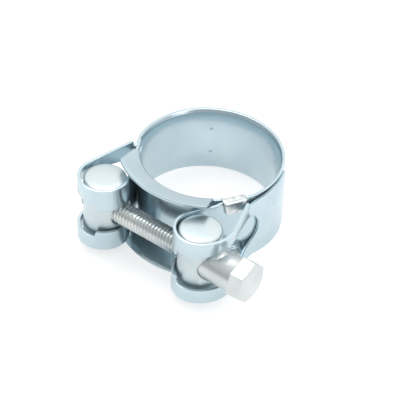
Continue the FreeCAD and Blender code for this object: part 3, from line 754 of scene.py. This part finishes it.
def spun_sheet(name, rows, first, last, step=2.0):
    """Spins a drawn row round the bore between two angles from the front, in degrees."""
    start = math.radians(first - 90)
    item = drawn_row(name, [(r * math.cos(start), r * math.sin(start), z) for r, z in rows])
    steps = max(2, round((last - first) / step))
    editing(item, lambda: bpy.ops.mesh.spin(steps=steps, angle=math.radians(last - first), center=(0, 0, 0),
                                            axis=(0, 0, -1)))
    reach = [math.degrees(math.atan2(v.co.x, -v.co.y)) for v in item.data.vertices]
    print(name, "from", round(min(reach), 1), "to", round(max(reach), 1), "degrees")
    return item


WALL_LEFT, WALL_RIGHT = -62.0, 66.2
FLANGE_LEFT, FLANGE_RIGHT, CRIMP_LEFT = -52.5, 41.5, 40.3
TAB_LEVEL = 9.55
wall_rows = [(PLATE_MID, z) for z in (-FOLD_LEVEL, -4, 0, 4, FOLD_LEVEL)]
crimp_rows = [(PLATE_MID, FOLD_LEVEL), (PLATE_MID, TAB_LEVEL + PLATE / 2)]
wall = spun_sheet("wall", wall_rows, WALL_LEFT, WALL_RIGHT)
flange = spun_sheet("flange", [(p.x, p.y) for p in flange_profile()], FLANGE_LEFT, FLANGE_RIGHT)
crimp = spun_sheet("crimp", crimp_rows, CRIMP_LEFT, WALL_RIGHT)

# %% [markdown]
# Both ends of the flange are cut off at a slant, so that its inner edge reaches further round
# than its outer one. The left end slants far more. A bisect does that while the flange is still
# a bare sheet.

# %% Slanted ends
def on_plan(radius, degrees):
    """A place on the plan view, by its angle from the front."""
    return Vector((radius * math.sin(math.radians(degrees)), -radius * math.cos(math.radians(degrees)), 0))


SLANTS = ((on_plan(19.9, FLANGE_LEFT), on_plan(FLANGE_OUTER, -38.7)),
          (on_plan(19.4, 39.5), on_plan(FLANGE_OUTER, 35.2)))
for tip, corner in SLANTS:
    normal = (corner - tip).cross(Vector((0, 0, 1))).normalized()
    if normal.x * tip.x < 0:
        normal = -normal
    editing(flange, lambda: bpy.ops.mesh.bisect(plane_co=tip * MM, plane_no=normal, clear_outer=True))
print("flange after the slanted cuts", len(flange.data.polygons))

# %% [markdown]
# At the other end a tab on each edge is folded over the strip and pressed down on its outer
# face, which holds the bridge in the clamp. Its section is drawn once, extruded along the leg
# and trimmed at a slant at both ends.

# %% Crimp tab
leg_out = Vector((math.cos(LEAVE), -math.sin(LEAVE), 0))
leg_along = Vector((-math.sin(LEAVE), -math.cos(LEAVE), 0))
TAB_DROP, TAB_FOLD, TAB_INNER, TAB_PARTS = 3.3, 0.35, 17.0, 8
FACE = BORE + THICK + PLAY


def tab_section():
    """Places across the tab's middle: flat, fold and drop, at the tab's end near the ring."""
    bend = TAB_FOLD + PLATE / 2
    centre = Vector((FACE - TAB_FOLD, TAB_LEVEL - TAB_FOLD))
    rows = [Vector((TAB_INNER, centre.y + bend)), Vector((centre.x, centre.y + bend))]
    rows += [centre + ray_at(math.pi / 2 * (1 - i / 6)) * bend for i in range(1, 7)]
    rows += [Vector((centre.x + bend, centre.y - (TAB_DROP - TAB_FOLD) * t)) for t in (0.35, 0.7, 1.0)]
    return [leg_out * p.x + leg_along * TAB_FROM + Vector((0, 0, p.y)) for p in rows]


tab = drawn_row("crimp_tab", tab_section())


def pull_tab():
    for _ in range(TAB_PARTS):
        length = leg_along * (TAB_TO - TAB_FROM) / TAB_PARTS * MM
        bpy.ops.mesh.extrude_region_move(TRANSFORM_OT_translate={"value": length})


editing(tab, pull_tab)
for near, slope in ((TAB_FROM, -1.7), (TAB_TO, 0.55)):
    pivot = leg_out * FACE + leg_along * near + Vector((0, 0, TAB_LEVEL))
    normal = (leg_along * (1 if slope > 0 else -1) - Vector((0, 0, 1)) * abs(slope) / TAB_DROP).normalized()
    editing(tab, lambda: bpy.ops.mesh.bisect(plane_co=pivot * MM, plane_no=normal, clear_outer=True))
print("tab faces", len(tab.data.polygons))

# %% [markdown]
# The sheets are mirrored to the lower edge and given the thickness of the plate. The tab's
# inner end is trimmed by the bore.

# %% Thickness
for item in (flange, crimp, tab):
    add_modifier(item, "MIRROR", use_axis=(False, False, True), use_mirror_merge=False)
    apply_all(item)
only(wall, flange, crimp)
bpy.ops.object.join()
bridge = bpy.context.object
editing(bridge, lambda: bpy.ops.mesh.remove_doubles(threshold=0.02 * MM))
for item in (bridge, tab):
    editing(item, lambda: bpy.ops.mesh.normals_make_consistent(inside=False))
    add_modifier(item, "SOLIDIFY", thickness=PLATE * MM, offset=0.0, use_even_offset=False)
    apply_all(item)
    editing(item, lambda: bpy.ops.mesh.normals_make_consistent(inside=False))
cut_away(tab, cylinder("bore", PLATE_MID - PLATE / 2, 40, (0, 0, 0), "Z", 180))
for item, finish in ((bridge, STRIP), (tab, CRIMP_WEAR_AND_HIGHLIGHT)):
    round_edges(item, PLATE_BREAK, 2, 60)
    item.data.materials.clear()
    item.data.materials.append(finish)
    smooth(item, 30)
only(bridge, tab)
bpy.ops.object.join()
bridge = bpy.context.object
hand_over(bridge, "bridge_plate", [STRIP, CRIMP_WEAR_AND_HIGHLIGHT], "clamp", "bridge")

# %% [markdown]
# ## The trunnions
# Both trunnions are turned from bar: a cylinder with rounded ends and a hole across it. The
# left one is threaded and countersunk towards the gap, the right one has a pocket in which the
# sleeve stands. The end faces are very slightly domed, as parted-off faces are after tumbling.

# %% Turned barrels
BARREL, BARREL_HALF, BARREL_ROUND, HOLE_BREAK = 5.7, 9.1, 0.75, 0.1
DOME_IN, DOME_LIFTS = 1.6, (0.06, 0.03)
TAP_DRILL, CLEARANCE_DRILL, THROUGH = 2.6, 3.2, 14.0
SINK_WIDE, SINK_LONG, SINK_OUT = 6.0, 3.4, 0.1
POCKET, POCKET_LONG = 4.8, 8.0


def barrel(name, x):
    """A bar length with domed, rounded ends: the end faces are inset and lifted."""
    item = cylinder(name, BARREL, 2 * BARREL_HALF, (x, BOLT_Y, 0), "Z", 128)
    round_edges(item, BARREL_ROUND, 5, 35)
    for up in (-1, 1):
        only(item)
        bpy.ops.object.mode_set(mode="EDIT")
        bpy.ops.mesh.select_all(action="DESELECT")
        bpy.ops.object.mode_set(mode="OBJECT")
        for face in item.data.polygons:
            face.select = face.normal.z * up > 0.99 and len(face.vertices) > 20
        bpy.ops.object.mode_set(mode="EDIT")
        for lift in DOME_LIFTS:
            bpy.ops.mesh.inset(thickness=DOME_IN * MM, depth=lift * MM)
        bpy.ops.object.mode_set(mode="OBJECT")
    return item


left_barrel = barrel("left", -BARREL_X)
sink_at = (-BARREL_X + BARREL + SINK_OUT, BOLT_Y, 0)
cut_away(left_barrel, cylinder("tap_drill", TAP_DRILL, THROUGH, (-BARREL_X, BOLT_Y, 0), "X", 96),
         cylinder("countersink", TAP_DRILL, SINK_LONG, sink_at, "X", 96, radius2=SINK_WIDE))
right_barrel = barrel("right", BARREL_X)
pocket_at = (BARREL_X + POCKET_FLOOR + POCKET_LONG / 2, BOLT_Y, 0)
cut_away(right_barrel, cylinder("clearance_drill", CLEARANCE_DRILL, THROUGH, (BARREL_X, BOLT_Y, 0), "X", 96),
         cylinder("sleeve_pocket", POCKET, POCKET_LONG, pocket_at, "X", 96))
for item, name, side, node_name in ((left_barrel, "tapped_barrel", -1, "threaded_trunnion"),
                                    (right_barrel, "plain_barrel", 1, "plain_trunnion")):
    round_edges(item, HOLE_BREAK, 2, 40)
    smooth(item, 30)
    hand_over(item, name, TURNED[side], "clamp", node_name)

# %% [markdown]
# ## The spacer sleeve
# A short length of tube, faced and slightly chamfered at both ends.

# %% Sleeve
SLEEVE, SLEEVE_BORE, SLEEVE_CHAMFER = 4.7, 3.1, 0.22
sleeve_at = (SLEEVE_X + SLEEVE_LONG / 2, BOLT_Y, 0)
sleeve = cylinder("sleeve", SLEEVE, SLEEVE_LONG, sleeve_at, "X", 128)
cut_away(sleeve, cylinder("sleeve_bore", SLEEVE_BORE, THROUGH, sleeve_at, "X", 96))
round_edges(sleeve, SLEEVE_CHAMFER, 2, 40)
smooth(sleeve, 30)
hand_over(sleeve, "tube_sleeve", BOLT, "sleeve", "spacer_sleeve")

# %% [markdown]
# ## The bolt
# The head starts as a cylinder with six sides. On a lathe its corners are turned off by a
# slanting tool, and here a cone does that, by keeping only what both shapes share. The flats
# stay flat in the shading, because only angles under 14 degrees are smoothed.

# %% Bolt head
TURN, HEAD_BREAK = math.radians(15.8), 0.09
ACROSS_FLATS, CROWN_FACE, CROWN_LONG, CROWN_SLOPE = 10.0, 9.3, 4.2, math.radians(25)
head = cylinder("head", ACROSS_FLATS / math.sqrt(3), HEAD_HIGH, (0, 0, 0), "Z", 6)
head.matrix_world = (Matrix.Translation(Vector((HEAD_X + HEAD_HIGH / 2, BOLT_Y, 0)) * MM)
                     @ Matrix.Rotation(TURN, 4, "X") @ Matrix.Rotation(math.pi / 2, 4, "Y"))
settle(head)
crown_foot = CROWN_FACE / 2 + CROWN_LONG / math.tan(CROWN_SLOPE)
crown = cylinder("crown", crown_foot, CROWN_LONG, (HEAD_X + HEAD_HIGH - CROWN_LONG / 2, BOLT_Y, 0),
                 "X", 128, radius2=CROWN_FACE / 2)
cut_away(head, crown, operation="INTERSECT")
round_edges(head, HEAD_BREAK, 2, 20)
smooth(head, 14)
print("head faces", len(head.data.polygons))

# %% [markdown]
# The thread is a real helix. One pitch of its profile is drawn as a row of edges, and the screw
# modifier turns it round the axis and raises it by a pitch with each turn. It is made two turns
# too long, then cut square and closed at both ends.

# %% Thread
PITCH, MAJOR, MINOR, EASE = 1.0, 3.0, 2.42, 0.04
LENGTH = 50.0
profile = [(MINOR, 0.0), (MINOR, 0.14), (MAJOR - EASE, 0.46), (MAJOR, 0.5), (MAJOR, 0.56),
           (MAJOR - EASE, 0.6), (MINOR, 0.92), (MINOR, PITCH)]
thread = drawn_row("thread", [(r, 0, z) for r, z in profile])
add_modifier(thread, "SCREW", axis="Z", screw_offset=PITCH * MM, iterations=int(LENGTH) + 2, steps=48,
             render_steps=48, use_merge_vertices=True, merge_threshold=0.001 * MM)
apply_all(thread)


def close_ends():
    bpy.ops.mesh.remove_doubles(threshold=0.002 * MM)
    bpy.ops.mesh.bisect(plane_co=(0, 0, PITCH * MM), plane_no=(0, 0, 1), use_fill=True, clear_inner=True)
    bpy.ops.mesh.select_all(action="SELECT")
    bpy.ops.mesh.bisect(plane_co=(0, 0, (LENGTH + PITCH) * MM), plane_no=(0, 0, 1), use_fill=True,
                        clear_outer=True)
    bpy.ops.mesh.select_all(action="SELECT")
    bpy.ops.mesh.normals_make_consistent(inside=False)


editing(thread, close_ends)
thread.matrix_world = (Matrix.Translation(Vector((HEAD_X + PITCH, BOLT_Y, 0)) * MM)
                       @ Matrix.Rotation(-math.pi / 2, 4, "Y"))
settle(thread)
print("thread faces", len(thread.data.polygons))

# %% [markdown]
# The bolt's tip is turned to a cone, so that it finds its hole. The thread is kept only inside a
# shape that narrows at the tip and is wider than the thread elsewhere. Head and thread are then
# joined, because on the real bolt they are one piece.

# %% Tip and joining
TIP_FACE, TIP_WIDE, TIP_LONG, SHAFT_WIDE, SHAFT_IN = 2.2, 4.2, 2.0, 3.3, 1.5
tip_at = (HEAD_X - LENGTH + TIP_LONG / 2, BOLT_Y, 0)
shaft_at = (HEAD_X - LENGTH / 2 + SHAFT_IN, BOLT_Y, 0)
tip = cylinder("tip_shape", TIP_FACE, TIP_LONG, tip_at, "X", 96, radius2=TIP_WIDE)
cut_away(tip, cylinder("shaft_shape", SHAFT_WIDE, LENGTH, shaft_at, "X", 96), operation="UNION")
cut_away(thread, tip, operation="INTERSECT")
smooth(thread, 32)
only(head, thread)
bpy.ops.object.join()
hand_over(bpy.context.object, "screw", BOLT, "bolt", "hex_bolt")

# %% [markdown]
# ## Floor and light
# The clamp stands on the lower flange of its bridge and on the back of the ring, so the table
# is tilted a few degrees against the clamp's own axes. The floor and the backdrop show white
# to the camera. Big soft lights and a bright world give the plating something to reflect.

# %% Floor
contact_front = Vector((0, -18.9, -12.26))
contact_back = Vector((0, 19.9, -10.0))
FLOOR_GAP, FLOOR_SIDE = 0.02, 1.2
along_floor = (contact_back - contact_front).normalized()
floor_normal = Vector((1, 0, 0)).cross(along_floor)
bpy.ops.mesh.primitive_plane_add(size=FLOOR_SIDE)
floor = bpy.context.object
floor.name = "table_top"
floor.matrix_world = (Matrix.Translation((contact_front - floor_normal * FLOOR_GAP) * MM)
                      @ floor_normal.to_track_quat("Z", "Y").to_matrix().to_4x4())
settle(floor)
print("floor tilt", round(math.degrees(math.acos(floor_normal.z)), 2), "degrees")

# %% [markdown]
# The table is matt and pale, so the clamp's soft shadow falls on it. A glow lifts it to white
# where no shadow lies. Only the camera and reflections see the glow, so it doesn't wash out the
# shadow or light the clamp from below. The metal sees a little less of it than the camera does.

# %% Table finish
GLOW, METAL_SHARE = 0.6, 0.85


def table_finish():
    """A matt table. The camera and the metal see it brighter than it is, white where unshaded."""
    material = bpy.data.materials.new("pale_table")
    material.use_nodes = True
    tree = material.node_tree
    shader = tree.nodes["Principled BSDF"]
    shader.inputs["Base Color"].default_value = (0.62, 0.62, 0.62, 1)
    shader.inputs["Roughness"].default_value = 0.9
    shader.inputs["Specular IOR Level"].default_value = 0.0
    rays = node(tree, "LightPath")
    either = node(tree, "Math", {0: rays.outputs["Is Camera Ray"], 1: rays.outputs["Is Transmission Ray"]},
                  operation="MAXIMUM")
    glossy = node(tree, "Math", {0: rays.outputs["Is Glossy Ray"], 2: either.outputs[0]},
                  operation="MULTIPLY_ADD")
    glossy.inputs[1].default_value = METAL_SHARE
    lift = node(tree, "Math", {0: glossy.outputs[0]}, operation="MULTIPLY")
    lift.inputs[1].default_value = GLOW
    tree.links.new(lift.outputs[0], shader.inputs["Emission Strength"])
    shader.inputs["Emission Color"].default_value = (1, 1, 1, 1)
    return material


floor.data.materials.append(table_finish())
print("floor finish", floor.data.materials[0].name)

# %% [markdown]
# The world is a pale light tent. The camera sees it white. The metal sees the same white, with
# the tent's open front and lower part darker, which is what gives bright plating its shape.

# %% World
world = bpy.data.worlds.new("studio")
bpy.context.scene.world = world
world.use_nodes = True
tree = world.node_tree
tree.nodes.clear()
rays = node(tree, "LightPath")
direction = node(tree, "TexCoord")
split = node(tree, "SeparateXYZ", {"Vector": direction.outputs["Generated"]})
height = node(tree, "MapRange", {"Value": split.outputs["Z"]}, interpolation_type="SMOOTHSTEP",
              From_Min=0.25, From_Max=0.8, To_Min=0.0, To_Max=0.38)
behind = node(tree, "MapRange", {"Value": split.outputs["Y"]}, interpolation_type="SMOOTHSTEP",
              From_Min=-0.3, From_Max=0.7, To_Min=0.47, To_Max=0.84)
level = node(tree, "Math", {0: height.outputs["Result"], 1: behind.outputs["Result"]}, operation="ADD")
straight = node(tree, "Math", {0: rays.outputs["Is Camera Ray"], 1: rays.outputs["Is Transmission Ray"]},
                operation="MAXIMUM")
seen_white = node(tree, "Math", {0: straight.outputs[0], 1: rays.outputs["Is Glossy Ray"]},
                  operation="MAXIMUM")
dimming = node(tree, "Math", {0: level.outputs[0]}, operation="SUBTRACT")
dimming.inputs[1].default_value = 1.0
in_metal = node(tree, "Math", {0: rays.outputs["Is Glossy Ray"], 1: dimming.outputs[0]},
                operation="MULTIPLY_ADD")
in_metal.inputs[2].default_value = 1.0
tent = node(tree, "Background", {"Strength": level.outputs[0]}, Color=(0.97, 0.985, 1.0, 1))
white = node(tree, "Background", {"Strength": in_metal.outputs[0]}, Color=(1, 1, 1, 1))
mixed = node(tree, "MixShader", {0: seen_white.outputs[0], 1: tent.outputs[0], 2: white.outputs[0]})
node(tree, "OutputWorld", {"Surface": mixed.outputs[0]})
print("world nodes", len(tree.nodes))

# %% [markdown]
# Two soft boxes point at the clamp. The long one hangs above and a little to the left, the weaker
# one stands to the right. They give the metal its broad highlights and the table its soft shadow.

# %% Lamps
def lamp(name, at, size, power):
    data = bpy.data.lights.new(name, "AREA")
    data.shape = "RECTANGLE"
    data.size, data.size_y = size
    data.energy = power
    item = bpy.data.objects.new(name, data)
    bpy.context.collection.objects.link(item)
    item.location = at
    item.rotation_euler = (-Vector(at)).to_track_quat("-Z", "Y").to_euler()
    return item


top = lamp("top_softbox", at=(-0.2, 0.05, 0.5), size=(0.4, 0.16), power=0.7)
beside = lamp("right_softbox", at=(0.45, -0.05, 0.25), size=(0.2, 0.3), power=0.35)
print("lamps", top.name, top.data.energy, beside.name, beside.data.energy)

# %% [markdown]
# ## Camera
# A long lens from the front right and above, with the roll that the tilt of the clamp on the
# table gives it.

# %% Camera
AZIMUTH, ELEVATION, ROLL = (math.radians(a) for a in (36.12, 40.67, 2.70))
DISTANCE = 495.95
PICTURE, FOCAL, CENTRE_ACROSS, CENTRE_DOWN = 400, 1888.62, 189.43, 198.57
SENSOR = 36.0
TARGET = Vector((0, -8.0, -0.15))
back = Vector((math.sin(AZIMUTH) * math.cos(ELEVATION), -math.cos(AZIMUTH) * math.cos(ELEVATION),
               math.sin(ELEVATION)))
right_hand = Vector((math.cos(AZIMUTH), math.sin(AZIMUTH), 0))
upward = back.cross(right_hand)
rolled_right = right_hand * math.cos(ROLL) + upward * math.sin(ROLL)
rolled_up = upward * math.cos(ROLL) - right_hand * math.sin(ROLL)
lens = bpy.data.cameras.new("camera")
lens.sensor_width = SENSOR
lens.lens = FOCAL / PICTURE * SENSOR
lens.shift_x = (PICTURE / 2 - CENTRE_ACROSS) / PICTURE
lens.shift_y = (CENTRE_DOWN - PICTURE / 2) / PICTURE
lens.clip_start, lens.clip_end = 0.01, 10.0
camera = bpy.data.objects.new("camera", lens)
bpy.context.collection.objects.link(camera)
turned = Matrix((rolled_right, rolled_up, back)).transposed().to_4x4()
camera.matrix_world = Matrix.Translation((TARGET + back * DISTANCE) * MM) @ turned
bpy.context.scene.camera = camera
bpy.context.scene.view_settings.view_transform = "Standard"
print("camera at", [round(c, 3) for c in camera.matrix_world.translation], "lens", round(lens.lens, 1), "mm")
